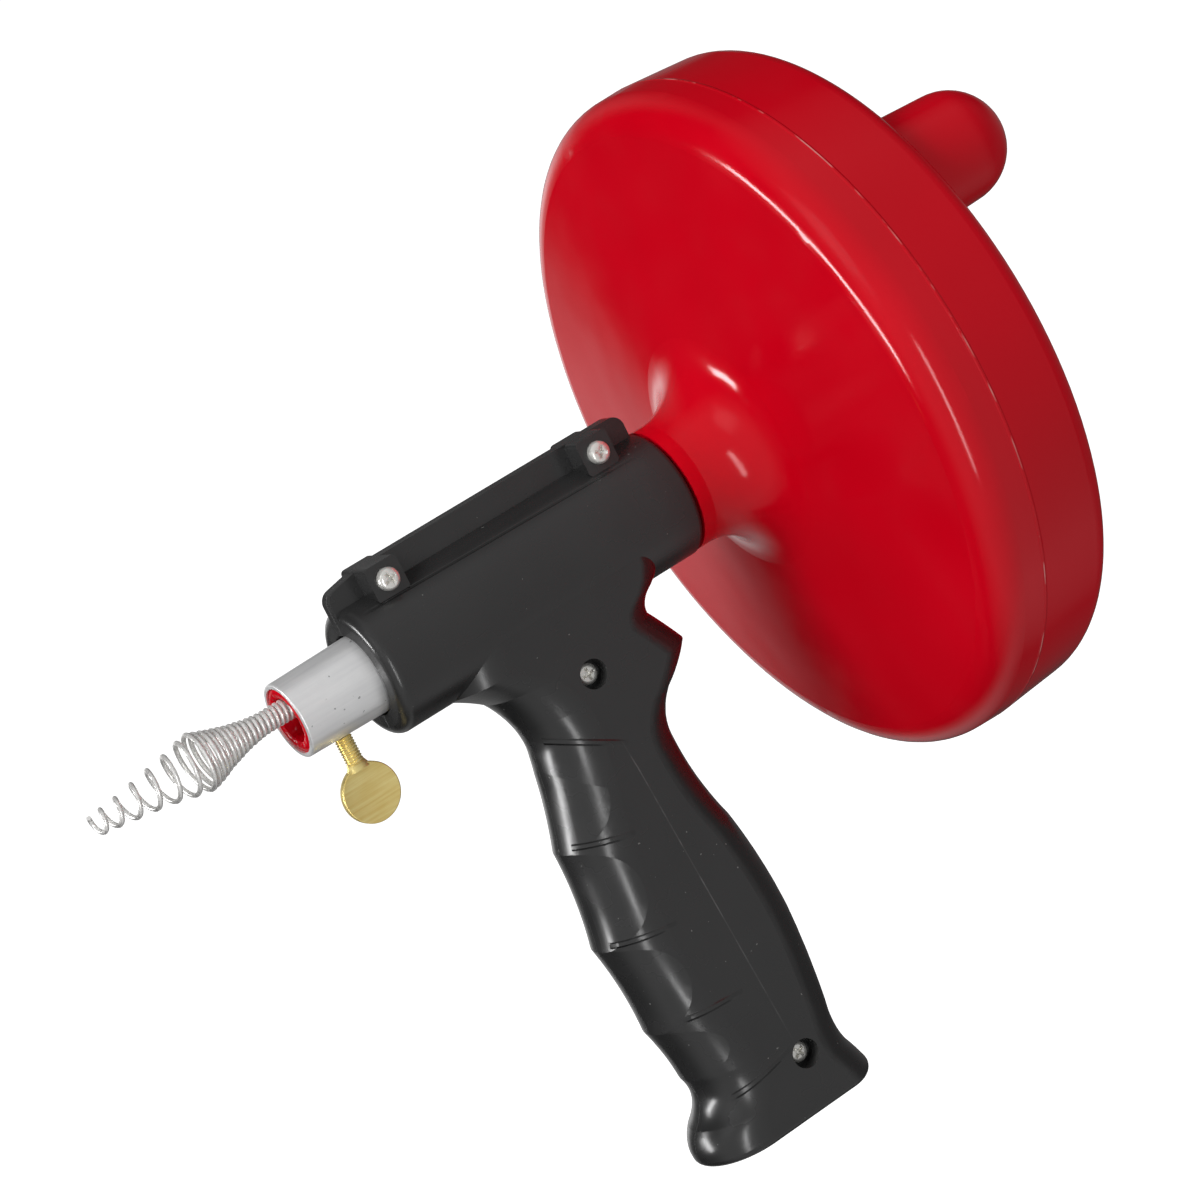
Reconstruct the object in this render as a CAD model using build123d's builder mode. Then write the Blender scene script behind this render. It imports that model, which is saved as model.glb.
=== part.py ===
from build123d import *
import os
from math import atan2, ceil, cos, degrees, floor, pi, radians, sin, sqrt

# Hand-cranked drain snake: a pistol handle in two shells, a red drum that spins in it with a
# crank knob at the back, and a wire snake that leaves through a sleeve with a thumb screw.
# Millimetres. X is the spin axis with the snake leaving towards -X, Z is up and the grip hangs
# down. The origin is the centre of the sleeve's mouth, and Y = 0 is where the shells part.

os.makedirs("parts", exist_ok=True)

# ---- driving dimensions -------------------------------------------------------------------
cable_diameter = 6.35
cable_length = 7620.0
wire_diameter = 1.35

sleeve_length = 33.0
sleeve_mouth_radius = 10.6
sleeve_taper = 0.6
sleeve_wall = 1.3
neck_wall = 3.0

barrel_radius = 18.2
barrel_front = 23.5
barrel_rear = 122.0
shell_wall = 2.8
bearing_width = 6.0
running_clearance = 0.08
end_float = 0.5

flange_height = 6.9
flange_front_drop = 2.4
flange_thickness = 2.6
flange_corner = 3.5
flange_boss_depth = 9.8
flange_far_depth = 5.6
flange_boss_corner = 1.2
flange_screw_rise = 2.0
flange_screw_front = 14.4
flange_screw_rear = 15.8
flange_rear_gap = 2.0
barrel_rounding = 3.0
foot_rounding = 2.4

grip_setback = 15.5
grip_drop = 163.2
grip_half_width = 15.0
foot_half_width = 15.9
root_half_width = 14.4
tail_depth = 11.0
grip_screw_upper = (36.1, 28.5)
grip_screw_lower = (41.4, 16.1)
finger_depth = 0.9
finger_fade = 1.2
ridge_overlap = 0.3
post_wall = 1.8

screw_shank_radius = 1.75
screw_head_radius = 3.1
screw_head_height = 2.3
screw_clearance = 0.15
screw_pocket_gap = 0.4
screw_end_gap = 0.2
screw_fit = 0.05
recess_depth = 1.3
recess_width = 0.9
screw_engagement = 8.0
counterbore_radius = 4.0
counterbore_depth = 6.0

drum_radius = 98.4
drum_front_side = 15.0
drum_depth_behind_seam = 25.0
drum_front_draft = 0.04
drum_back_draft = 0.066
drum_wall = 2.0
front_rounding = 10.0
back_rounding = 6.2
hub_radius = 17.8
hub_length = 20.6
hub_fillet = 19.0
cone_rise = 11.0
neck_recess = 0.6
sleeve_fit = 0.03

knob_radius = 16.2
knob_tip_radius = 15.3
knob_reach = 35.0
knob_offset = 74.0
knob_angle = 137.6

thumb_axis = 11.0
thumb_thread_radius = 2.5
thumb_thread_pitch = 0.8
thumb_reach = 8.3
thumb_head_radius = 8.1
thumb_head_thickness = 2.6
thumb_pin_radius = 1.2
thumb_pin_length = 4.0
thumb_collar = 1.6
thread_clearance = 0.06
pin_clearance = 0.06
thumb_gap = 0.4

bulb_radius = 8.4
tail_pitch = 4.6
tail_turns = 7
tail_end_radius = 3.4
flare_start = -5.0
flare_length = 20.5
lead_end_gap = 16.1
cable_gap = 0.7
cable_neck_gap = 0.2

coil_overlap = 0.05
coil_rim_gap = 1.0

# ---- sizes that follow --------------------------------------------------------------------
cable_radius = cable_diameter / 2
wire_radius = wire_diameter / 2
sleeve_root_radius = sleeve_mouth_radius + sleeve_taper
neck_radius = sleeve_mouth_radius - sleeve_wall
neck_bore = neck_radius - neck_wall
cable_height = neck_bore - cable_radius - cable_neck_gap
hub_start = barrel_rear + end_float
cone_start = hub_start + hub_length
front_corner = cone_start + cone_rise
seam = front_corner + drum_front_side
front_corner_radius = drum_radius - drum_front_draft * drum_front_side
drum_back = seam + drum_depth_behind_seam
sleeve_slot_radius = sleeve_root_radius + 0.5
front_web_start = sleeve_length + end_float
front_web_end = front_web_start + bearing_width
rear_web_start = barrel_rear - bearing_width
barrel_bore = barrel_radius - shell_wall
flange_top = barrel_radius + flange_height
flange_rear = barrel_rear - flange_rear_gap
flange_screw_height = barrel_radius + flange_screw_rise
flange_boss = flange_top - flange_screw_height
flange_screw_places = [barrel_front + flange_screw_front, barrel_rear - flange_screw_rear]
grip_front = barrel_front + grip_setback
grip_screw_places = [
    (grip_front + grip_screw_upper[0], -grip_screw_upper[1]),
    (grip_front + grip_screw_lower[0], grip_screw_lower[1] - grip_drop),
]

# Each section of the grip: how far below the axis, where its front and back are, and its half
# width. The first are inside the barrel, the notch and spur for the web of the hand follow,
# then the swell for the palm, and the toe and heel of the foot.
web = root_half_width
palm = grip_half_width
foot = foot_half_width
grip_sections = [
    (6.0, grip_front, grip_front + 72.0, web + 2.4),
    (13.0, grip_front, grip_front + 71.0, web + 1.0),
    (17.0, grip_front, grip_front + 67.2, web + 0.4),
    (20.5, grip_front + 6.4, grip_front + 63.2, web),
    (24.0, grip_front + 11.3, grip_front + 62.2, web),
    (29.0, grip_front + 14.2, grip_front + 65.2, web),
    (34.5, grip_front + 16.2, grip_front + 68.2, web),
    (38.5, grip_front + 16.8, grip_front + 64.6, web),
    (43.0, grip_front + 16.4, grip_front + 58.8, web),
    (48.0, grip_front + 15.4, grip_front + 54.8, web),
    (56.0, grip_front + 13.2, grip_front + 52.8, palm),
    (68.0, grip_front + 10.2, grip_front + 53.8, palm),
    (82.0, grip_front + 8.0, grip_front + 57.2, palm),
    (96.5, grip_front + 7.3, grip_front + 59.6, palm),
    (112.0, grip_front + 8.1, grip_front + 60.6, palm),
    (127.0, grip_front + 10.5, grip_front + 59.8, palm),
    (140.0, grip_front + 13.2, grip_front + 58.3, palm),
    (148.0, grip_front + 13.2, grip_front + 57.6, palm),
    (153.0, grip_front + 9.0, grip_front + 58.4, foot - 0.5),
    (158.0, grip_front + 6.4, grip_front + 60.4, foot),
    (grip_drop, grip_front + 6.8, grip_front + 62.0, foot),
]
finger_ridges = [(16.8, 38.5), (10.1, 68.5), (7.3, 96.5), (9.9, 123.5), (13.3, 145.0)]


def grip_outline(depth, front, back, half_width, inset=0.0):
    """One level section of the grip: a round nose, flat sides and a shallower round back."""
    half = half_width - inset
    nose = front + half_width
    tail = back - tail_depth
    with BuildSketch(Plane.XY.offset(-depth)) as section:
        with BuildLine():
            EllipticalCenterArc((nose, 0), half, half, start_angle=90, arc_size=180)
            Line((nose, -half), (tail, -half))
            EllipticalCenterArc((tail, 0), tail_depth - inset, half, start_angle=-90, arc_size=180)
            Line((tail, half), (nose, half))
        make_face()
    return section.sketch


def finger_grooves():
    """What is cut from the front of the grip: shallow hollows that meet in ridges."""
    reach = grip_half_width + finger_fade
    with BuildPart() as grooves:
        for (upper, top), (lower, bottom) in zip(finger_ridges, finger_ridges[1:]):
            ridge = Vector(grip_front + lower, 0, -bottom)
            step = Vector(grip_front + upper, 0, -top) - ridge
            along = step.normalized()
            span = step.length
            centre = ridge + Vector(along.Z, 0, -along.X) * reach
            with BuildSketch(Plane(centre, x_dir=(0, 1, 0), z_dir=Vector(0, 1, 0).cross(along))):
                with BuildLine():
                    low, high = -ridge_overlap, span + ridge_overlap
                    ThreePointArc((reach, low), (reach - finger_depth, span / 2), (reach, high))
                    Polyline((reach, high), (reach + 6, high), (reach + 6, low), (reach, low))
                make_face()
            revolve(axis=Axis(centre, along), revolution_arc=180)
    return grooves.part


def solid_handle():
    """The handle with both halves in one: barrel, grip, flange and the flange's screw bosses."""
    with BuildPart() as body:
        for start in range(0, len(grip_sections) - 2, 2):
            loft([grip_outline(*section) for section in grip_sections[start : start + 3]])
        fillet(body.faces().sort_by(Axis.Z)[0].edges(), foot_rounding)
        add(finger_grooves(), mode=Mode.SUBTRACT)
        with BuildSketch(Plane.YZ.offset(barrel_front)):
            Circle(barrel_radius)
        extrude(amount=barrel_rear - barrel_front)
        ends = body.faces().filter_by(Axis.X).sort_by(Axis.X)
        fillet(ends[0].edges(), barrel_rounding)
        fillet(ends[-1].edges(), barrel_rounding / 2)
        with BuildSketch(Plane.XZ) as flange:
            with BuildLine():
                Polyline(
                    (barrel_front, 0),
                    (barrel_front, flange_top - flange_front_drop),
                    (barrel_front + 3.5 * flange_corner, flange_top),
                    (flange_rear, flange_top),
                    (flange_rear, 0),
                    (barrel_front, 0),
                )
            make_face()
            fillet(flange.vertices().filter_by_position(Axis.Y, barrel_radius, flange_top + 1), flange_corner)
        extrude(amount=flange_thickness, both=True)
        with BuildSketch(Plane.XZ):
            with Locations([(x, flange_screw_height) for x in flange_screw_places]):
                RectangleRounded(2 * flange_boss, 2 * flange_boss, flange_boss_corner)
        extrude(amount=flange_boss_depth)
        with BuildSketch(Plane.XZ):
            with Locations([(x, flange_screw_height) for x in flange_screw_places]):
                RectangleRounded(2 * flange_boss, 2 * flange_boss, flange_boss_corner)
        extrude(amount=-flange_far_depth)
        with BuildSketch(Plane.XZ.offset(flange_boss_depth)):
            with Locations([(x, flange_screw_height) for x in flange_screw_places]):
                Circle(screw_head_radius + screw_pocket_gap)
        extrude(amount=barrel_radius, mode=Mode.SUBTRACT)
    return body.part


def hollow_handle():
    """The space inside the two shells, between the barrel's two bearing webs and down the grip."""
    with BuildPart() as space:
        with BuildSketch(Plane.YZ.offset(front_web_end)):
            Circle(barrel_bore)
        extrude(amount=rear_web_start - front_web_end)
        with BuildSketch(Plane.YZ.offset(barrel_front)):
            Circle(sleeve_slot_radius)
        extrude(amount=front_web_start - barrel_front)
        with BuildSketch(Plane.YZ.offset(barrel_front)):
            Circle(neck_radius + running_clearance)
        extrude(amount=barrel_rear - barrel_front)
        inside = grip_sections[1:-1] + [(grip_drop - shell_wall, *grip_sections[-1][1:])]
        for start in range(0, len(inside) - 1, 2):
            loft([grip_outline(*section, inset=shell_wall) for section in inside[start : start + 3]])
    return space.part


def screw_post(radius):
    """A post across the grip's hollow at each grip screw."""
    with BuildPart() as posts:
        with BuildSketch(Plane.XZ):
            with Locations(grip_screw_places):
                Circle(radius)
        extrude(amount=grip_half_width - 1.0, both=True)
    return posts.part


def screw_holes(radius, near, far, places):
    """Round holes along Y from near to far, at each place."""
    with BuildPart() as holes:
        with BuildSketch(Plane.XZ.offset(-near)):
            with Locations(places):
                Circle(radius)
        extrude(amount=near - far)
    return holes.part


flange_places = [(x, flange_screw_height) for x in flange_screw_places]
grip_seat = counterbore_depth - grip_half_width
through = screw_shank_radius + screw_clearance
tapped = screw_shank_radius + screw_fit

with BuildPart() as handle_left_shell:
    add(solid_handle())
    add(hollow_handle(), mode=Mode.SUBTRACT)
    add(screw_post(counterbore_radius + post_wall))
    add(screw_holes(counterbore_radius, grip_seat, -30, grip_screw_places), mode=Mode.SUBTRACT)
    add(screw_holes(through, 1, -30, grip_screw_places), mode=Mode.SUBTRACT)
    add(screw_holes(through, 1, -30, flange_places), mode=Mode.SUBTRACT)
    split(bisect_by=Plane.XZ, keep=Keep.TOP)
handle_left_shell.part.label = "handle_left_shell"

with BuildPart() as handle_right_shell:
    add(solid_handle())
    add(hollow_handle(), mode=Mode.SUBTRACT)
    add(screw_post(tapped + post_wall))
    add(screw_holes(tapped, screw_engagement + 0.6, -1, grip_screw_places), mode=Mode.SUBTRACT)
    add(screw_holes(tapped, 30, -1, flange_places), mode=Mode.SUBTRACT)
    split(bisect_by=Plane.XZ, keep=Keep.BOTTOM)
handle_right_shell.part.label = "handle_right_shell"


def screw(x, z, seat, end, name):
    """A pan-head screw along Y with a cross recess, its head's underside at seat."""
    with BuildPart() as piece:
        with BuildSketch(Plane.XZ.offset(-seat)):
            with Locations((x, z)):
                Circle(screw_head_radius)
        extrude(amount=screw_head_height)
        top = piece.faces().sort_by(Axis.Y)[0]
        fillet(top.edges(), screw_head_height * 0.7)
        with BuildSketch(Plane.XZ.offset(-seat)):
            with Locations((x, z)):
                Circle(screw_shank_radius)
        extrude(amount=seat - end)
        with BuildSketch(Plane.XZ.offset(screw_head_height - seat)):
            with Locations((x, z)):
                Rectangle(screw_head_radius * 1.1, recess_width)
                Rectangle(recess_width, screw_head_radius * 1.1)
        extrude(amount=-recess_depth, mode=Mode.SUBTRACT)
    piece.part.label = name
    return piece.part


screws = []
for (x, z), name in zip(flange_places, ("flange_screw_front", "flange_screw_rear")):
    screws.append(screw(x, z, -flange_boss_depth, flange_far_depth - screw_end_gap, name))
for (x, z), name in zip(grip_screw_places, ("grip_screw_upper", "grip_screw_lower")):
    screws.append(screw(x, z, grip_seat, screw_engagement, name))

# ---- drum: a front shell with the hub and the neck, and a rear shell with the knob ---------
cone_slope = cone_rise / (front_corner_radius - hub_radius)
cone_skin = drum_wall * sqrt(1 + cone_slope**2)
hub_inside = hub_radius - drum_wall
cone_inside_start = cone_start - cone_slope * drum_wall + cone_skin
cone_inside_end = front_corner - cone_slope * drum_wall + cone_skin

with BuildPart() as drum_front_shell:
    with BuildSketch(Plane.XZ) as profile:
        with BuildLine():
            Polyline(
                (neck_recess, neck_bore),
                (neck_recess, neck_radius),
                (hub_start, neck_radius),
                (hub_start, hub_radius),
                (cone_start, hub_radius),
                (front_corner, front_corner_radius),
                (seam, drum_radius),
                (seam, drum_radius - drum_wall),
                (cone_inside_end, front_corner_radius - drum_wall),
                (cone_inside_start, hub_inside),
                (hub_start + drum_wall, hub_inside),
                (hub_start + drum_wall, neck_bore),
                (neck_recess, neck_bore),
            )
        make_face()
        corners = profile.vertices()
        fillet(corners.sort_by_distance((cone_start, hub_radius))[0], hub_fillet)
        corners = profile.vertices()
        fillet(corners.sort_by_distance((front_corner, front_corner_radius))[0], front_rounding)
        corners = profile.vertices()
        rim_inside = (cone_inside_end, front_corner_radius - drum_wall)
        fillet(corners.sort_by_distance(rim_inside)[0], front_rounding - drum_wall)
        corners = profile.vertices()
        fillet(corners.sort_by_distance((cone_inside_start, hub_inside))[0], hub_fillet + drum_wall)
    revolve(axis=Axis.X)
    with BuildSketch(Plane.XY.offset(-sleeve_root_radius)):
        with Locations((thumb_axis, 0)):
            Circle(thumb_thread_radius + thread_clearance)
    extrude(amount=sleeve_root_radius, mode=Mode.SUBTRACT)
drum_front_shell.part.label = "drum_front_shell"

back_radius = drum_radius - drum_back_draft * drum_depth_behind_seam
with BuildPart() as drum_rear_shell:
    with BuildSketch(Plane.XZ) as profile:
        with BuildLine():
            Polyline(
                (seam, drum_radius),
                (drum_back, back_radius),
                (drum_back, 0),
                (drum_back - drum_wall, 0),
                (drum_back - drum_wall, back_radius - drum_wall),
                (seam, drum_radius - drum_wall),
                (seam, drum_radius),
            )
        make_face()
        corners = profile.vertices()
        fillet(corners.sort_by_distance((drum_back, back_radius))[0], back_rounding)
        corners = profile.vertices()
        inside = (drum_back - drum_wall, back_radius - drum_wall)
        fillet(corners.sort_by_distance(inside)[0], back_rounding - drum_wall)
    revolve(axis=Axis.X)
    knob_y = knob_offset * cos(radians(knob_angle))
    knob_z = knob_offset * sin(radians(knob_angle))
    tip = drum_back + knob_reach
    for wall, mode in ((0.0, Mode.ADD), (drum_wall, Mode.SUBTRACT)):
        root = drum_back - drum_wall / 2 - wall
        base = knob_radius - wall
        end = knob_tip_radius - wall
        with BuildSketch(Plane.XZ.offset(-knob_y)):
            with BuildLine():
                Line((root, knob_z), (root, knob_z + base))
                Line((root, knob_z + base), (tip - wall - end, knob_z + end))
                RadiusArc((tip - wall - end, knob_z + end), (tip - wall, knob_z), end)
                Line((tip - wall, knob_z), (root, knob_z))
            make_face()
        revolve(axis=Axis((0, knob_y, knob_z), (1, 0, 0)), mode=mode)
drum_rear_shell.part.label = "drum_rear_shell"

# ---- sleeve pressed on the neck, and its thumb screw ---------------------------------------
with BuildPart() as front_sleeve:
    with BuildSketch(Plane.XZ) as profile:
        with BuildLine():
            Polyline(
                (0, neck_radius + sleeve_fit),
                (0, sleeve_mouth_radius),
                (sleeve_length, sleeve_root_radius),
                (sleeve_length, neck_radius + sleeve_fit),
                (0, neck_radius + sleeve_fit),
            )
        make_face()
        fillet(profile.vertices().sort_by_distance((0, sleeve_mouth_radius))[0], 0.5)
    revolve(axis=Axis.X)
    with BuildSketch(Plane.XY.offset(-sleeve_root_radius - 1)):
        with Locations((thumb_axis, 0)):
            Circle(thumb_thread_radius + thread_clearance)
    extrude(amount=sleeve_root_radius, mode=Mode.SUBTRACT)
front_sleeve.part.label = "front_sleeve"

thumb_tip = cable_height - cable_radius - thumb_gap
thumb_shoulder = -(sleeve_mouth_radius + thumb_reach)
with BuildPart() as thumb_screw_shank:
    with BuildSketch(Plane.XY.offset(thumb_tip)):
        with Locations((thumb_axis, 0)):
            Circle(thumb_thread_radius)
    extrude(amount=thumb_shoulder - thumb_tip)
    chamfer(thumb_screw_shank.faces().sort_by(Axis.Z)[-1].edges(), 0.5)
    with BuildSketch(Plane.XY.offset(thumb_shoulder)):
        with Locations((thumb_axis, 0)):
            Circle(thumb_pin_radius + pin_clearance)
    extrude(amount=thumb_pin_length + 0.3, mode=Mode.SUBTRACT)
thumb_screw_shank.part.label = "thumb_screw_shank"

disc_height = thumb_shoulder - 0.6 - thumb_head_radius + 0.5
with BuildPart() as thumb_screw_head:
    with BuildSketch(Plane.XZ):
        with Locations((thumb_axis, disc_height)):
            Circle(thumb_head_radius)
    extrude(amount=thumb_head_thickness / 2, both=True)
    rims = thumb_screw_head.faces().filter_by(Axis.Y)
    fillet(rims.edges(), 0.4)
    with BuildSketch(Plane.XY.offset(thumb_shoulder - 0.2)):
        with Locations((thumb_axis, 0)):
            Circle(thumb_thread_radius)
    extrude(amount=-thumb_collar)
    with BuildSketch(Plane.XY.offset(thumb_shoulder - 0.2)):
        with Locations((thumb_axis, 0)):
            Circle(thumb_pin_radius)
    extrude(amount=thumb_pin_length)
thumb_screw_head.part.label = "thumb_screw_head"

# ---- snake: the turns stored in the drum, the straight lead and the auger head -------------
coil_pitch = cable_diameter - coil_overlap
coil_outer = back_radius - drum_wall - coil_rim_gap
coil_columns = floor((drum_back - drum_wall - 2 * cable_gap - cone_inside_end) / coil_pitch)
coil_inmost = sqrt(coil_outer**2 - cable_length * coil_pitch / (pi * coil_columns))
coil_layers = ceil((coil_outer - coil_inmost) / coil_pitch)
coil_turns = coil_layers * coil_columns
coil_mean_radius = cable_length / (2 * pi * coil_turns)
coil_inner = coil_mean_radius - coil_pitch * (coil_layers - 1) / 2
coil_first = drum_back - drum_wall - cable_gap - cable_radius - coil_pitch * (coil_columns - 1)
with BuildPart() as cable_coil:
    with BuildSketch(Plane.XZ):
        places = [
            (coil_first + column * coil_pitch, coil_inner + layer * coil_pitch)
            for column in range(coil_columns)
            for layer in range(coil_layers)
        ]
        with Locations(places):
            Circle(cable_radius)
        with Locations((coil_first + coil_pitch * (coil_columns - 1) / 2, coil_mean_radius)):
            Rectangle(coil_pitch * (coil_columns - 1), coil_pitch * (coil_layers - 1))
    revolve(axis=Axis.X)
cable_coil.part.label = "cable_coil"

with BuildPart() as cable_lead:
    with BuildSketch(Plane.YZ.offset(flare_start)):
        with Locations((0, cable_height)):
            Circle(cable_radius)
    extrude(amount=drum_back - lead_end_gap - flare_start)
cable_lead.part.label = "cable_lead"

flare_pitch = wire_diameter * 0.8
flare_turns = round(flare_length / flare_pitch)
flare_inner = cable_radius - wire_radius
flare_outer = bulb_radius - wire_radius
flare_end = flare_start - wire_radius - flare_pitch * (flare_turns - 1)
tail_fall = flare_outer - (tail_end_radius - wire_radius)
with BuildPart() as auger_bulb:
    with BuildSketch(Plane.XZ):
        for turn in range(flare_turns):
            share = turn / (flare_turns - 1)
            radius = flare_inner + (flare_outer - flare_inner) * share**1.6
            with Locations((flare_start - wire_radius - flare_pitch * turn, cable_height + radius)):
                Circle(wire_radius)
    revolve(axis=Axis((0, 0, cable_height), (1, 0, 0)))
auger_bulb.part.label = "auger_bulb"

with BuildPart() as auger_tail:
    with BuildLine() as spiral:
        Helix(
            pitch=tail_pitch,
            height=tail_pitch * tail_turns,
            radius=flare_outer,
            center=(flare_end - wire_radius / 2, 0, cable_height),
            direction=(-1, 0, 0),
            cone_angle=-degrees(atan2(tail_fall, tail_pitch * tail_turns)),
        )
    with BuildSketch(Plane(spiral.line @ 0, z_dir=spiral.line % 0)):
        Circle(wire_radius)
    sweep(path=spiral.line, is_frenet=True)
auger_tail.part.label = "auger_tail"

pieces = [
    handle_left_shell.part,
    handle_right_shell.part,
    *screws,
    drum_front_shell.part,
    drum_rear_shell.part,
    front_sleeve.part,
    thumb_screw_shank.part,
    thumb_screw_head.part,
    cable_coil.part,
    cable_lead.part,
    auger_bulb.part,
    auger_tail.part,
]
for piece in pieces:
    export_step(piece, f"parts/{piece.label}.step")
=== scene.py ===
from math import cos, pi, radians, sin

import bpy
from mathutils import Matrix, Vector


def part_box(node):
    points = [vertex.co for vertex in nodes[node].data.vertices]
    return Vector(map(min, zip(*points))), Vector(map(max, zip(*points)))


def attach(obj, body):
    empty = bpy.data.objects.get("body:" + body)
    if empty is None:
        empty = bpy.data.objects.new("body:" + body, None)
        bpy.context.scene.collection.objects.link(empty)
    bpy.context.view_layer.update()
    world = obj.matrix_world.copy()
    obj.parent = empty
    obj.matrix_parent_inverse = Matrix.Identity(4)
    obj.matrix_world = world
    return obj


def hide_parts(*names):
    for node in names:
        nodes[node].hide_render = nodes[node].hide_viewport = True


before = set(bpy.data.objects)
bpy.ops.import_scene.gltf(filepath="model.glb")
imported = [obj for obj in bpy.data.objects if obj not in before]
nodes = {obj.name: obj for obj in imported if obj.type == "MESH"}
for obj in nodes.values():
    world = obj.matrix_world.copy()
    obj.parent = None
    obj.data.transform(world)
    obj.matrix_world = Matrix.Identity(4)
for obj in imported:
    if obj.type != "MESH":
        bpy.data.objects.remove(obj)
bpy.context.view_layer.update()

# ---- places taken from the frame ------------------------------------------------------------
lead_low, lead_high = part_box("cable_lead")
bulb_low, bulb_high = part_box("auger_bulb")
tail_low, tail_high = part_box("auger_tail")
shank_low, shank_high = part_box("thumb_screw_shank")
head_low, head_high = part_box("thumb_screw_head")
seam_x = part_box("drum_rear_shell")[0].x
snake_height = (lead_low.z + lead_high.z) / 2
cable_radius = (lead_high.y - lead_low.y) / 2
bulb_radius = (bulb_high.y - bulb_low.y) / 2
wire_radius = 0.00067


# ---- modelling ------------------------------------------------------------------------------
def deselect_all():
    if bpy.context.object and bpy.context.object.mode != "OBJECT":
        bpy.ops.object.mode_set(mode="OBJECT")
    bpy.ops.object.select_all(action="DESELECT")


def choose(obj):
    deselect_all()
    obj.select_set(True)
    bpy.context.view_layer.objects.active = obj


def edit_where(obj, kind, test):
    """Opens edit mode on a piece with only the faces, edges or vertices selected that pass."""
    choose(obj)
    bpy.ops.object.mode_set(mode="EDIT")
    bpy.ops.mesh.select_mode(type=kind)
    bpy.ops.mesh.select_all(action="DESELECT")
    bpy.ops.object.mode_set(mode="OBJECT")
    mesh = obj.data
    if kind == "FACE":
        for face in mesh.polygons:
            face.select = test(face)
    elif kind == "EDGE":
        for edge in mesh.edges:
            edge.select = test(*(mesh.vertices[v].co for v in edge.vertices))
    else:
        for vertex in mesh.vertices:
            vertex.select = test(vertex.co)
    bpy.ops.object.mode_set(mode="EDIT")


def done_editing(outward=False):
    if outward:
        bpy.ops.mesh.select_all(action="SELECT")
        bpy.ops.mesh.remove_doubles(threshold=1e-6)
        bpy.ops.mesh.normals_make_consistent(inside=False)
    bpy.ops.object.mode_set(mode="OBJECT")


def added(name):
    piece = bpy.context.object
    piece.name = name
    return piece


def apply_modifier(obj, kind, **settings):
    choose(obj)
    modifier = obj.modifiers.new(kind.title(), kind)
    for key, value in settings.items():
        setattr(modifier, key, value)
    bpy.ops.object.modifier_apply(modifier=modifier.name)


def settle(obj, smooth_angle=35):
    """Bakes the place into the mesh and smooths it."""
    choose(obj)
    bpy.ops.object.transform_apply(location=True, rotation=True, scale=True)
    bpy.ops.object.shade_smooth_by_angle(angle=radians(smooth_angle))


def join(pieces, name):
    choose(pieces[0])
    for piece in pieces[1:]:
        piece.select_set(True)
    bpy.ops.object.join()
    return added(name)


def fit_out(obj, material, slot, body, *stands_for):
    """Gives a finished piece its finish, its body and the CAD nodes it stands for."""
    obj.data.materials.clear()
    obj.data.materials.append(material)
    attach(obj, body)
    if stands_for:
        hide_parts(*stands_for)
    return obj


def threaded_rod(name, root, crest, pitch, length, steps=24):
    """A thread of V turns wound round +Z from the origin up, closed at both ends."""
    deselect_all()
    bpy.ops.mesh.primitive_circle_add(
        vertices=4, radius=pitch / 2, location=(0, 0, 0), rotation=(pi / 2, 0, 0)
    )
    rod = added(name)
    bpy.ops.object.transform_apply(location=False, rotation=True, scale=False)
    edit_where(rod, "VERT", lambda co: co.x < -pitch / 4)
    bpy.ops.mesh.delete(type="VERT")
    bpy.ops.object.mode_set(mode="OBJECT")
    choose(rod)
    rod.scale = ((crest - root) / (pitch / 2), 1, 1)
    rod.location = (root, 0, pitch / 2)
    bpy.ops.object.transform_apply(location=True, rotation=False, scale=True)
    turns = max(2, round(length / pitch) - 1)
    apply_modifier(
        rod, "SCREW", axis="Z", angle=2 * pi, screw_offset=pitch, iterations=turns,
        steps=steps, render_steps=steps, use_merge_vertices=True, merge_threshold=1e-6,
    )
    edit_where(rod, "VERT", lambda co: True)
    bpy.ops.mesh.remove_doubles(threshold=1e-6)
    bpy.ops.mesh.select_all(action="DESELECT")
    bpy.ops.mesh.select_non_manifold()
    bpy.ops.mesh.fill_holes(sides=0)
    done_editing(outward=True)
    return rod


# ---- finishes -------------------------------------------------------------------------------
def new_material(name):
    """An empty node material, its tree and its main shader."""
    material = bpy.data.materials.new(name)
    material.use_nodes = True
    return material, material.node_tree, material.node_tree.nodes["Principled BSDF"]


def place_in_piece(tree, stretch=(1, 1, 1), turn=(0, 0, 0)):
    coordinates = tree.nodes.new("ShaderNodeTexCoord")
    mapping = tree.nodes.new("ShaderNodeMapping")
    mapping.inputs["Scale"].default_value = stretch
    mapping.inputs["Rotation"].default_value = turn
    tree.links.new(coordinates.outputs["Object"], mapping.inputs["Vector"])
    return mapping.outputs["Vector"]


def noise(tree, scale, detail=3, stretch=(1, 1, 1), turn=(0, 0, 0)):
    node = tree.nodes.new("ShaderNodeTexNoise")
    node.inputs["Scale"].default_value = scale
    node.inputs["Detail"].default_value = detail
    tree.links.new(place_in_piece(tree, stretch, turn), node.inputs["Vector"])
    return node.outputs["Fac"]


def spread(tree, value, low, high, to_low, to_high):
    node = tree.nodes.new("ShaderNodeMapRange")
    ends = {"From Min": low, "From Max": high, "To Min": to_low, "To Max": to_high}
    for name, number in ends.items():
        node.inputs[name].default_value = number
    tree.links.new(value, node.inputs["Value"])
    return node.outputs["Result"]


def maths(tree, operation, first, second=None):
    node = tree.nodes.new("ShaderNodeMath")
    node.operation = operation
    for socket, value in zip(node.inputs, (first, second)):
        if value is None:
            continue
        if isinstance(value, (int, float)):
            socket.default_value = value
        else:
            tree.links.new(value, socket)
    return node.outputs["Value"]


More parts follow.
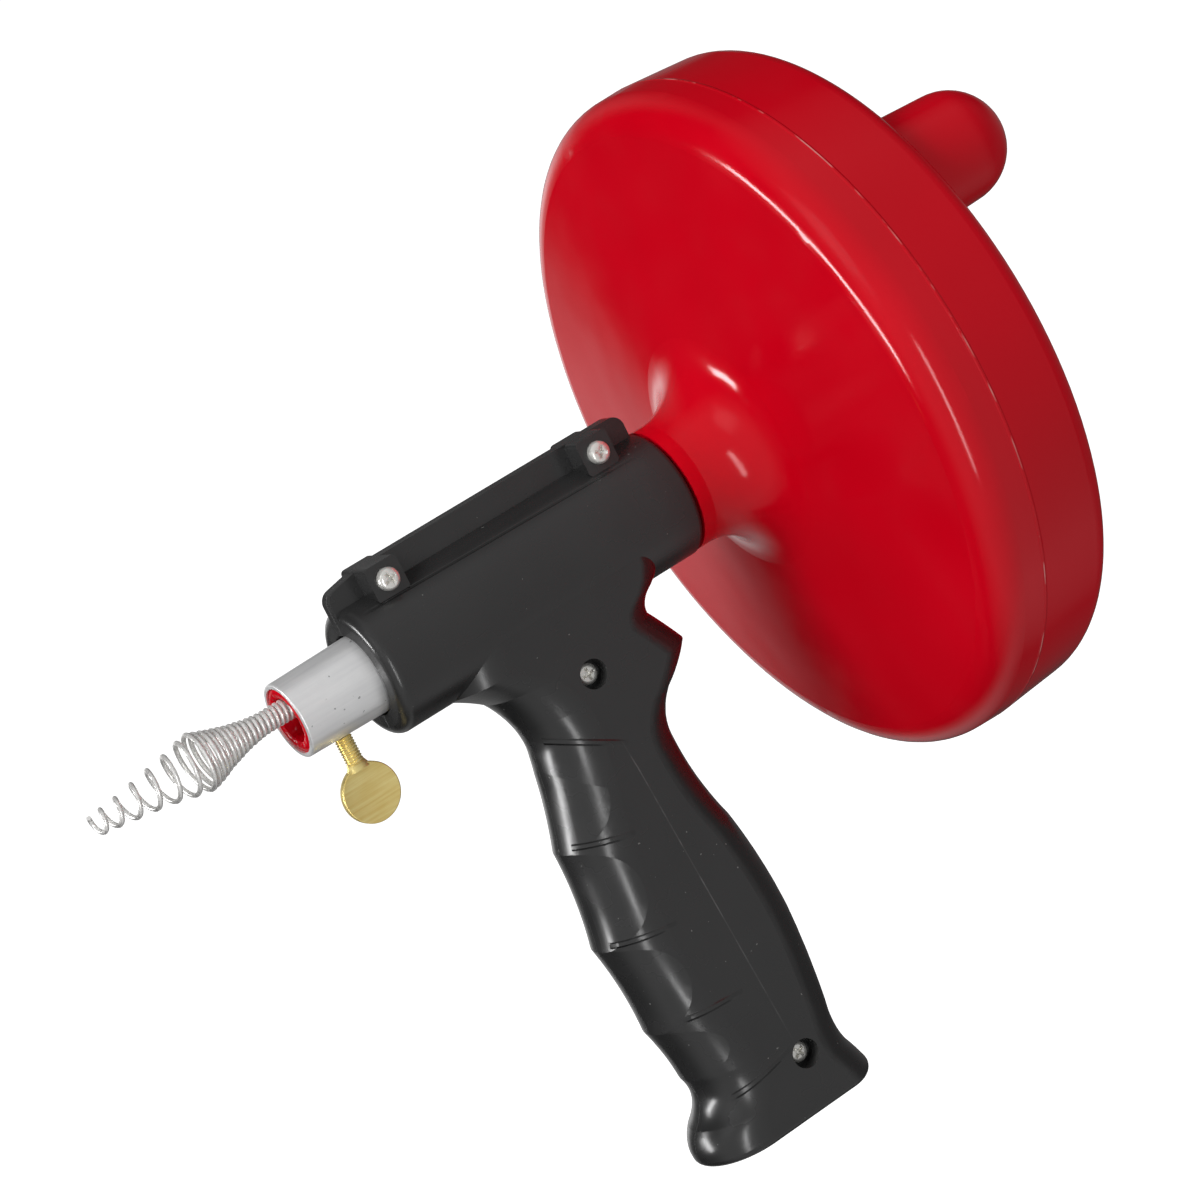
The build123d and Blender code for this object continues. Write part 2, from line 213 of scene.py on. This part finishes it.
def blended(tree, share, first, second):
    """A colour between two colours or colour outputs."""
    node = tree.nodes.new("ShaderNodeMix")
    node.data_type = "RGBA"
    for socket, value in ((node.inputs[6], first), (node.inputs[7], second)):
        if isinstance(value, tuple):
            socket.default_value = (*value, 1)
        else:
            tree.links.new(value, socket)
    tree.links.new(share, node.inputs[0])
    return node.outputs[2]


def raised(tree, height, distance, strength=1.0, under=None):
    node = tree.nodes.new("ShaderNodeBump")
    node.inputs["Distance"].default_value = distance
    node.inputs["Strength"].default_value = strength
    tree.links.new(height, node.inputs["Height"])
    if under is not None:
        tree.links.new(under, node.inputs["Normal"])
    return node.outputs["Normal"]


def axes_of(tree):
    node = tree.nodes.new("ShaderNodeSeparateXYZ")
    tree.links.new(place_in_piece(tree), node.inputs["Vector"])
    return node.outputs["X"], node.outputs["Y"], node.outputs["Z"]


def line_mask(tree, value, centre, half_width):
    """1 on a thin line where value is at centre, fading to 0 at its edges."""
    away = maths(tree, "ABSOLUTE", maths(tree, "SUBTRACT", value, centre))
    return spread(tree, away, half_width * 0.5, half_width, 1, 0)


def crease_mask(tree, x, z, start, end, half_width):
    """1 along a straight crease between two (x, z) places, fading out at its ends."""
    run = (end[0] - start[0], end[1] - start[1])
    length = (run[0] ** 2 + run[1] ** 2) ** 0.5
    from_x = maths(tree, "SUBTRACT", x, start[0])
    from_z = maths(tree, "SUBTRACT", z, start[1])
    along_x = maths(tree, "MULTIPLY", from_x, run[0] / length**2)
    along_z = maths(tree, "MULTIPLY", from_z, run[1] / length**2)
    along = maths(tree, "ADD", along_x, along_z)
    across_z = maths(tree, "MULTIPLY", from_z, run[0] / length)
    across_x = maths(tree, "MULTIPLY", from_x, run[1] / length)
    across = maths(tree, "SUBTRACT", across_z, across_x)
    first_end = spread(tree, along, -0.03, 0.08, 0, 1)
    last_end = spread(tree, along, 0.6, 1.05, 1, 0)
    ends = maths(tree, "MULTIPLY", first_end, last_end)
    return maths(tree, "MULTIPLY", line_mask(tree, across, 0.0, half_width), ends)


def gloss_red_plastic(name, seam_line):
    """Moulded glossy red, with the pale broken flash line where the drum's halves are welded."""
    material, tree, shader = new_material(name)
    x = axes_of(tree)[0]
    drift = noise(tree, 14, 2)
    deep_red = (0.66, 0.0, 0.0095)
    clear_red = (0.73, 0.0, 0.0115)
    colour = blended(tree, spread(tree, drift, 0.35, 0.65, 0, 1), deep_red, clear_red)
    ripple = raised(tree, noise(tree, 22, 2), 0.0009, 0.35)
    peel = raised(tree, noise(tree, 900, 2), 0.00002, 0.25, ripple)
    gloss = spread(tree, noise(tree, 60, 4), 0.3, 0.7, 0.09, 0.17)
    if seam_line:
        flash_half_width = 0.00024
        groove_half_width = 0.0006
        pale_red = (0.86, 0.34, 0.32)
        broken = spread(tree, noise(tree, 90, 4), 0.5, 0.62, 0.0, 0.8)
        flash = maths(tree, "MULTIPLY", line_mask(tree, x, seam_x, flash_half_width), broken)
        colour = blended(tree, flash, colour, pale_red)
        peel = raised(tree, line_mask(tree, x, seam_x, groove_half_width), 0.0002, 0.8, peel)
    tree.links.new(colour, shader.inputs["Base Color"])
    tree.links.new(gloss, shader.inputs["Roughness"])
    tree.links.new(peel, shader.inputs["Normal"])
    shader.inputs["Specular IOR Level"].default_value = 0.25
    return material


# marks on the handle's sides, each from one (x, z) place to another
finger_creases = [
    ((0.0540, -0.0367), (0.0742, -0.0485)),
    ((0.0491, -0.0665), (0.0645, -0.0700)),
    ((0.0480, -0.0950), (0.0634, -0.0968)),
    ((0.0550, -0.1213), (0.0714, -0.1225)),
    ((0.0573, -0.1470), (0.0760, -0.1437)),
]
# painted highlight: a light line where the grip's side panel curves round to the back
back_curve_highlight_line = ((0.0737, -0.0490), (0.0789, -0.1450))
# a groove along the barrel's upper flank, sunk by bump and darkened with painted shade
flange_root_line = ((0.0300, 0.0154), (0.1130, 0.0144))
crease_half_width = 0.0009
parting_half_width = 0.0003
flank_start = 0.006


def charcoal_plastic():
    """Moulded charcoal nylon: satin, with the parting line, finger creases, dust, a groove along the
    barrel with painted shade in it and a painted highlight line where the grip's side panel curves to
    the back.
    """
    material, tree, shader = new_material("charcoal_plastic")
    x, y, z = axes_of(tree)
    drift = spread(tree, noise(tree, 30, 3), 0.25, 0.75, 0, 1)
    colour = blended(tree, drift, (0.025, 0.025, 0.0252), (0.029, 0.029, 0.0292))
    dust = spread(tree, noise(tree, 1100, 0), 0.875, 0.9, 0, 0.6)
    colour = blended(tree, dust, colour, (0.3, 0.3, 0.29))
    parting = line_mask(tree, y, 0.0, parting_half_width)
    colour = blended(tree, spread(tree, parting, 0, 1, 0, 0.7), colour, (0.008, 0.008, 0.008))
    side = maths(tree, "GREATER_THAN", maths(tree, "ABSOLUTE", y), flank_start)
    # painted highlight: a broken light grey line where the side panel curves to the back
    back_curve_highlight = crease_mask(tree, x, z, *back_curve_highlight_line, 0.00022)
    back_curve_highlight = maths(tree, "MULTIPLY", back_curve_highlight, spread(tree, noise(tree, 160, 2), 0.42, 0.6, 0.1, 0.4))
    colour = blended(tree, maths(tree, "MULTIPLY", back_curve_highlight, side), colour, (0.25, 0.25, 0.25))
    # painted shade: the barrel groove is darkened in colour as well as sunk by bump
    barrel_groove_and_shade_line = crease_mask(tree, x, z, *flange_root_line, 0.00035)
    groove_and_shade = maths(tree, "MULTIPLY", barrel_groove_and_shade_line, side)
    colour = blended(tree, spread(tree, groove_and_shade, 0, 1, 0, 0.6), colour, (0.010, 0.010, 0.010))
    raised_marks = None
    for start, end in finger_creases:
        mark = crease_mask(tree, x, z, start, end, crease_half_width)
        raised_marks = mark if raised_marks is None else maths(tree, "ADD", raised_marks, mark)
    raised_marks = maths(tree, "MULTIPLY", raised_marks, side)
    wave = raised(tree, noise(tree, 45, 2), 0.0006, 0.3)
    groove = raised(tree, spread(tree, parting, 0, 1, 1, 0), 0.0003, 0.8, wave)
    groove = raised(tree, spread(tree, groove_and_shade, 0, 1, 1, 0), 0.0003, 0.8, groove)
    marks = raised(tree, raised_marks, 0.0006, 0.9, groove)
    tree.links.new(colour, shader.inputs["Base Color"])
    satin = spread(tree, noise(tree, 90, 3), 0.25, 0.75, 0.20, 0.32)
    tree.links.new(satin, shader.inputs["Roughness"])
    tree.links.new(marks, shader.inputs["Normal"])
    shader.inputs["Specular IOR Level"].default_value = 0.5
    return material


def worked_metal(
    name, dark, light, roughness, stretch, line_scale, depth, turn=(0, 0, 0), specks=0.0, metallic=0.6
):
    """Bare metal with fine lines along one direction, cloudy polish and small specks."""
    material, tree, shader = new_material(name)
    lines = noise(tree, line_scale, 4, stretch, turn)
    cloud = noise(tree, 120, 3)
    line_share = spread(tree, lines, 0.3, 0.7, 0, 0.6)
    cloud_share = spread(tree, cloud, 0.3, 0.7, 0, 0.4)
    colour = blended(tree, maths(tree, "ADD", line_share, cloud_share), dark, light)
    if specks:
        pits = spread(tree, noise(tree, 620, 1), 0.735, 0.76, 0, specks)
        colour = blended(tree, pits, colour, (0.12, 0.12, 0.12))
    uneven_polish = spread(tree, lines, 0.3, 0.7, roughness * 0.85, roughness * 1.2)
    tree.links.new(colour, shader.inputs["Base Color"])
    tree.links.new(uneven_polish, shader.inputs["Roughness"])
    tree.links.new(raised(tree, lines, depth, 0.6), shader.inputs["Normal"])
    shader.inputs["Metallic"].default_value = metallic
    return material


red_drum = gloss_red_plastic("gloss_red_plastic", True)
red_rim = gloss_red_plastic("cut_red_rim", False)
charcoal = charcoal_plastic()
aluminium = worked_metal(
    "satin_aluminium", dark=(0.86, 0.86, 0.87), light=(1.0, 1.0, 1.0), roughness=0.34,
    stretch=(0.05, 1, 1), line_scale=900, depth=0.00003, specks=0.6, metallic=0.5,
)
plated = worked_metal(
    "plated_screw_steel", dark=(0.80, 0.79, 0.75), light=(1.0, 0.99, 0.95), roughness=0.24,
    stretch=(1, 1, 1), line_scale=500, depth=0.00004, metallic=0.55,
)
brushed_brass = worked_metal(
    "brushed_brass", dark=(0.80, 0.58, 0.17), light=(1.0, 0.86, 0.38), roughness=0.34,
    stretch=(0.04, 1, 1), line_scale=1500, depth=0.00005, turn=(0, radians(6), 0),
)
turned_brass = worked_metal(
    "turned_brass", dark=(0.98, 0.76, 0.30), light=(1.0, 0.90, 0.48), roughness=0.25,
    stretch=(1, 1, 1), line_scale=600, depth=0.00002,
)
spring_wire = worked_metal(
    "bright_spring_wire", dark=(0.88, 0.87, 0.85), light=(1.0, 0.99, 0.97), roughness=0.26,
    stretch=(1, 1, 1), line_scale=700, depth=0.00003, metallic=0.5,
)


def dress(name, material):
    """Puts a material on every slot of a CAD node."""
    node = nodes[name]
    if not node.material_slots:
        node.data.materials.append(material)
    for slot in node.material_slots:
        slot.material = material


for name in ("handle_left_shell", "handle_right_shell"):
    dress(name, charcoal)
for name in ("drum_front_shell", "drum_rear_shell"):
    dress(name, red_drum)
dress("front_sleeve", aluminium)
dress("cable_coil", spring_wire)


# ---- the wound snake ------------------------------------------------------------------------
def between(knots, place):
    """A smooth value through equally spaced knots."""
    place = min(max(place, 0), len(knots) - 1.000001)
    first = int(place)
    share = place - first
    around = [knots[min(max(first + step, 0), len(knots) - 1)] for step in (-1, 0, 1, 2)]
    before, here, after, beyond = around
    linear = (after - before) / 2
    square = before - 2.5 * here + 2 * after - beyond / 2
    cube = 1.5 * (here - after) + (beyond - before) / 2
    return here + share * (linear + share * (square + share * cube))


def wound_snake():
    """One wire from the stored lead to the tip: close coils, a horn of coils, then open turns."""
    per_turn = 24
    coil = cable_radius - wire_radius
    bulb = bulb_radius - wire_radius
    close_pitch = 0.00142
    horn_start = bulb_high.x - 0.0005
    horn_end = tail_high.x - wire_radius
    tip = tail_low.x + wire_radius
    close_turns = round((lead_high.x - horn_start) / close_pitch)
    horn_turns = 13
    open_turns = 6.75
    open_places = [0, 0.12, 0.265, 0.435, 0.605, 0.765, 0.91, 1.0]
    open_radii = [1.0, 0.905, 0.755, 0.63, 0.525, 0.42, 0.352, 0.335]
    uneven_pitch = 0.00012
    sideways_lean = 0.00025
    wire_end_angle = 1.3 * pi
    total = close_turns + horn_turns + open_turns
    points = []
    for step in range(round(total * per_turn) + 1):
        turns = step / per_turn
        if turns <= close_turns:
            share = turns / close_turns
            x = lead_high.x + (horn_start - lead_high.x) * share
            radius = coil
        elif turns <= close_turns + horn_turns:
            share = (turns - close_turns) / horn_turns
            x = horn_start + (horn_end - horn_start) * share
            radius = coil + (bulb - coil) * share**1.6
        else:
            place = turns - close_turns - horn_turns
            x = horn_end + (tip - horn_end) * between(open_places, place)
            radius = bulb * between(open_radii, place)
        loose = min(1, max(0, (turns - close_turns) / horn_turns))
        x += loose * uneven_pitch * sin(2.3 * turns)
        angle = 2 * pi * (turns - total) + wire_end_angle
        lean = loose * sideways_lean * sin(1.7 * turns)
        points.append((x, lean - radius * cos(angle), snake_height - radius * sin(angle)))
    curve = bpy.data.curves.new("snake_wire", "CURVE")
    curve.dimensions = "3D"
    curve.bevel_depth = wire_radius
    curve.bevel_resolution = 2
    curve.use_fill_caps = True
    spline = curve.splines.new("POLY")
    spline.points.add(len(points) - 1)
    for point, place in zip(spline.points, points):
        point.co = (*place, 1)
    wire = bpy.data.objects.new("snake_wire", curve)
    bpy.context.scene.collection.objects.link(wire)
    choose(wire)
    bpy.ops.object.convert(target="MESH")
    wire = bpy.context.object
    settle(wire, 60)
    return fit_out(wire, spring_wire, "wire_steel", "snake", "cable_lead", "auger_bulb", "auger_tail")


# ---- the thumb screw ------------------------------------------------------------------------
def thumb_thread():
    """The brass thread from inside the neck down to the disc."""
    pitch = 0.0008
    depth = 0.00042
    crest = (shank_high.x - shank_low.x) / 2
    axis_x = (shank_high.x + shank_low.x) / 2
    rod = threaded_rod("thumb_thread", crest - depth, crest, pitch, shank_high.z - shank_low.z)
    rod.location = (axis_x, 0, shank_low.z)
    settle(rod, 20)
    return fit_out(rod, turned_brass, "brass", "thumb_shank", "thumb_screw_shank")


def thumb_disc():
    """The flat brushed disc with a small stepped shoulder where the thread enters it."""
    radius = (head_high.x - head_low.x) / 2
    thickness = 0.0022
    edge_round = 0.0003
    shoulder_height = 0.0026
    axis_x = (head_high.x + head_low.x) / 2
    centre = Vector((axis_x, 0, head_low.z + radius))
    deselect_all()
    bpy.ops.mesh.primitive_cylinder_add(
        vertices=96, radius=radius, depth=thickness, location=centre, rotation=(pi / 2, 0, 0)
    )
    disc = added("thumb_disc")
    bpy.ops.object.transform_apply(location=False, rotation=True, scale=False)
    edit_where(disc, "FACE", lambda face: abs(face.normal.y) > 0.9)
    bpy.ops.mesh.inset(thickness=0.00035, depth=0)
    bpy.ops.mesh.inset(thickness=0.0003, depth=-0.00006)
    bpy.ops.object.mode_set(mode="OBJECT")

    def on_rim(a, b):
        return min(a.xz.length, b.xz.length) > radius * 0.999 and abs(a.y - b.y) < 1e-6

    edit_where(disc, "EDGE", on_rim)
    bpy.ops.mesh.bevel(offset=edge_round, segments=3, affect="EDGES")
    done_editing()
    deselect_all()
    bpy.ops.mesh.primitive_cone_add(
        vertices=32, radius1=0.0036, radius2=0.0024, depth=shoulder_height,
        location=(axis_x, 0, centre.z + radius - 0.0001), rotation=(0, 0, 0),
    )
    shoulder = added("thumb_shoulder")
    shoulder.scale = (1, 0.5, 1)
    edit_where(shoulder, "FACE", lambda face: face.normal.z > 0.9)
    bpy.ops.mesh.inset(thickness=0.0003, depth=0.0001)
    done_editing()
    choose(shoulder)
    bpy.ops.object.transform_apply(location=True, rotation=True, scale=True)
    disc = join([disc, shoulder], "thumb_disc")
    settle(disc, 30)
    return fit_out(disc, brushed_brass, "brass", "thumb_head", "thumb_screw_head")


# ---- the four pan-head screws ---------------------------------------------------------------
pan_height = 0.0023


def pan_head_screw():
    """A pan head on a thread, lying along -Z under the head, with a tapered cross recess."""
    radius = 0.0031
    crown = 0.0016
    recess_length = 0.0050
    recess_width = 0.00105
    recess_depth = 0.0015
    arm_centre_depth = 0.0003
    thread_sunk = 0.0004
    deselect_all()
    bpy.ops.mesh.primitive_cylinder_add(
        vertices=48, radius=radius, depth=pan_height, location=(0, 0, pan_height / 2)
    )
    head = added("pan_head")
    bpy.ops.object.transform_apply(location=True, rotation=False, scale=False)
    edit_where(head, "EDGE", lambda a, b: a.z > pan_height * 0.9 and b.z > pan_height * 0.9)
    bpy.ops.mesh.bevel(offset=crown, segments=6, profile=0.55, affect="EDGES")
    done_editing()
    arms = []
    for turn in (0, pi / 2):
        deselect_all()
        bpy.ops.mesh.primitive_cube_add(size=1, location=(0, 0, pan_height - arm_centre_depth))
        arm = added("cross_arm")
        arm.scale = (recess_length, recess_width, 2 * (recess_depth - arm_centre_depth))
        bpy.ops.object.transform_apply(location=False, rotation=False, scale=True)
        edit_where(arm, "FACE", lambda face: face.normal.z < -0.9)
        bpy.ops.transform.resize(value=(0.3, 0.55, 1))
        done_editing()
        arm.rotation_euler = (0, 0, turn)
        choose(arm)
        bpy.ops.object.transform_apply(location=True, rotation=True, scale=False)
        arms.append(arm)
    for arm in arms:
        apply_modifier(head, "BOOLEAN", operation="DIFFERENCE", object=arm, solver="EXACT")
        bpy.data.objects.remove(arm)
    rod = threaded_rod("screw_thread", root=0.0013, crest=0.00172, pitch=0.0012, length=0.015, steps=16)
    choose(rod)
    rod.rotation_euler = (pi, 0, 0)
    rod.location = (0, 0, thread_sunk)
    bpy.ops.object.transform_apply(location=True, rotation=True, scale=True)
    screw = join([head, rod], "pan_head_screw")
    apply_modifier(
        screw, "BEVEL", width=0.00007, segments=2, limit_method="ANGLE", angle_limit=radians(50)
    )
    return screw


def place_screws():
    first = pan_head_screw()
    turns = {
        "flange_screw_front": 20, "flange_screw_rear": 62, "grip_screw_upper": 5, "grip_screw_lower": 33,
    }
    for name, degrees in turns.items():
        low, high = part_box(name)
        piece = first.copy()
        piece.data = first.data.copy()
        piece.name = name + "_turned"
        bpy.context.scene.collection.objects.link(piece)
        seat = Vector(((low.x + high.x) / 2, low.y + pan_height, (low.z + high.z) / 2))
        lying = Matrix.Rotation(pi / 2, 4, "X") @ Matrix.Rotation(radians(degrees), 4, "Z")
        piece.matrix_world = Matrix.Translation(seat) @ lying
        settle(piece, 35)
        fit_out(piece, plated, "screw_steel", "handle", name)
    bpy.data.objects.remove(first)


# ---- the rough lip left where the neck's moulding was cut off -------------------------------
def neck_lip():
    bore = 0.0063
    half_wall = 0.00135
    rough_width = 0.0009
    roughness = 0.00045
    deselect_all()
    bpy.ops.mesh.primitive_torus_add(
        location=(0.0008, 0, 0), rotation=(0, pi / 2, 0), major_segments=90, minor_segments=12,
        major_radius=0.0077, minor_radius=half_wall,
    )
    lip = added("neck_lip")
    lip.scale = (1, 1, 0.5)
    bpy.ops.object.transform_apply(location=True, rotation=True, scale=True)
    edit_where(lip, "VERT", lambda co: co.yz.length < bore + rough_width)
    bpy.ops.transform.vertex_random(offset=roughness, seed=7)
    done_editing(outward=True)
    apply_modifier(lip, "SUBSURF", levels=1, render_levels=1)
    settle(lip, 60)
    return fit_out(lip, red_rim, "drum_plastic", "drum")


# ---- camera, floor and lights ---------------------------------------------------------------
def aim_camera(target, azimuth, elevation, roll, distance, lens):
    """A camera at a distance from target, azimuth towards -X, leaning by roll."""
    back = Vector((sin(azimuth) * cos(elevation), -cos(azimuth) * cos(elevation), sin(elevation)))
    level_right = (-back).cross(Vector((0, 0, 1))).normalized()
    level_up = level_right.cross(-back)
    right = level_right * cos(roll) + level_up * sin(roll)
    up = level_up * cos(roll) - level_right * sin(roll)
    turn = Matrix((right, up, back)).transposed().to_4x4()
    data = bpy.data.cameras.new("camera")
    data.sensor_width = 36
    data.lens = lens
    camera = bpy.data.objects.new("camera", data)
    camera.matrix_world = Matrix.Translation(Vector(target) + back * distance) @ turn
    bpy.context.scene.collection.objects.link(camera)
    bpy.context.scene.camera = camera
    return camera


def soft_light(
    name, place, towards, size, power, size_y=None, long_axis=None, fills=True, mirrored=True
):
    """A softbox at a place, facing a point; long_axis is the way its long side lies."""
    data = bpy.data.lights.new(name, "AREA")
    data.energy = power
    data.size = size
    if size_y:
        data.shape = "RECTANGLE"
        data.size_y = size_y
    light = bpy.data.objects.new(name, data)
    back = (Vector(place) - Vector(towards)).normalized()
    side = Vector(long_axis or (0.3, 0.2, 1))
    up = (side - back * side.dot(back)).normalized()
    turn = Matrix((up.cross(back), up, back)).transposed().to_4x4()
    light.matrix_world = Matrix.Translation(place) @ turn
    light.visible_diffuse = fills
    light.visible_glossy = mirrored
    bpy.context.scene.collection.objects.link(light)
    return light


def pale_floor():
    deselect_all()
    bpy.ops.mesh.primitive_plane_add(size=40, location=(0, 0, -0.75))
    floor = added("floor")
    material, _, shader = new_material("pale_floor")
    shader.inputs["Base Color"].default_value = (0.9, 0.9, 0.9, 1)
    shader.inputs["Roughness"].default_value = 0.9
    shader.inputs["Emission Color"].default_value = (1, 1, 1, 1)
    shader.inputs["Emission Strength"].default_value = 0.8
    floor.data.materials.append(material)
    floor.visible_glossy = False
    floor.visible_diffuse = False


def studio_world():
    """White to the eye and as soft fill; glosses mirror their own dark, pale and mid-grey parts."""
    world = bpy.data.worlds.new("studio")
    world.use_nodes = True
    tree = world.node_tree
    plain = tree.nodes["Background"]
    plain.inputs["Strength"].default_value = 0.42
    plain.inputs["Color"].default_value = (1, 1, 1, 1)
    mirrored = tree.nodes.new("ShaderNodeBackground")
    coordinates = tree.nodes.new("ShaderNodeTexCoord")
    split = tree.nodes.new("ShaderNodeSeparateXYZ")
    tree.links.new(coordinates.outputs["Generated"], split.inputs["Vector"])
    rising = spread(tree, split.outputs["X"], -0.30, -0.02, 0.02, 1.6)
    falling = spread(tree, split.outputs["X"], 0.08, 0.4, 1, 0.14)
    low = spread(tree, split.outputs["Z"], 0.05, 0.26, 1, 0.14)
    deep = spread(tree, split.outputs["Z"], -0.45, -0.1, 0.3, 1)
    across = maths(tree, "MULTIPLY", rising, falling)
    behind = maths(tree, "MULTIPLY", across, maths(tree, "MULTIPLY", low, deep))
    facing = spread(tree, split.outputs["X"], 0.45, 0.75, 0.72, 0.18)
    side = spread(tree, split.outputs["Y"], -0.2, 0.3, 0, 1)
    other_side = maths(tree, "SUBTRACT", 1.0, side)
    level = maths(
        tree, "ADD", maths(tree, "MULTIPLY", behind, side), maths(tree, "MULTIPLY", facing, other_side)
    )
    tree.links.new(level, mirrored.inputs["Strength"])
    ray = tree.nodes.new("ShaderNodeLightPath")
    mix = tree.nodes.new("ShaderNodeMixShader")
    tree.links.new(ray.outputs["Is Glossy Ray"], mix.inputs[0])
    tree.links.new(plain.outputs[0], mix.inputs[1])
    tree.links.new(mirrored.outputs[0], mix.inputs[2])
    backdrop = tree.nodes.new("ShaderNodeBackground")
    backdrop.inputs["Color"].default_value = (1, 1, 1, 1)
    backdrop.inputs["Strength"].default_value = 1.05
    seen = tree.nodes.new("ShaderNodeMixShader")
    tree.links.new(ray.outputs["Is Camera Ray"], seen.inputs[0])
    tree.links.new(mix.outputs[0], seen.inputs[1])
    tree.links.new(backdrop.outputs[0], seen.inputs[2])
    tree.links.new(seen.outputs[0], tree.nodes["World Output"].inputs["Surface"])
    bpy.context.scene.world = world


wound_snake()
thumb_thread()
thumb_disc()
place_screws()
neck_lip()

aim_camera(
    target=(0.09237, 0, -0.01596), azimuth=-0.4166, elevation=radians(12), roll=-0.4636,
    distance=1.0426, lens=118.8,
)
pale_floor()
studio_world()
soft_light(
    "key", place=(-1.4, -0.6, 1.1), towards=(0.1, 0, 0), size=0.9, power=21, mirrored=False,
)
soft_light(
    "rim_strip", place=(-1.30, 0.64, 0.20), towards=(0.158, -0.07, 0.04), size=0.20, power=17,
    size_y=0.95, long_axis=(0.27, 0.48, 0.51), fills=False,
)
soft_light(
    "grip_strip", place=(-0.75, -1.30, -0.28), towards=(0.07, 0, -0.09), size=0.17, power=6.5,
    size_y=1.1, long_axis=(0.2, 0, 1), fills=False,
)
bpy.context.scene.view_settings.view_transform = "Standard"
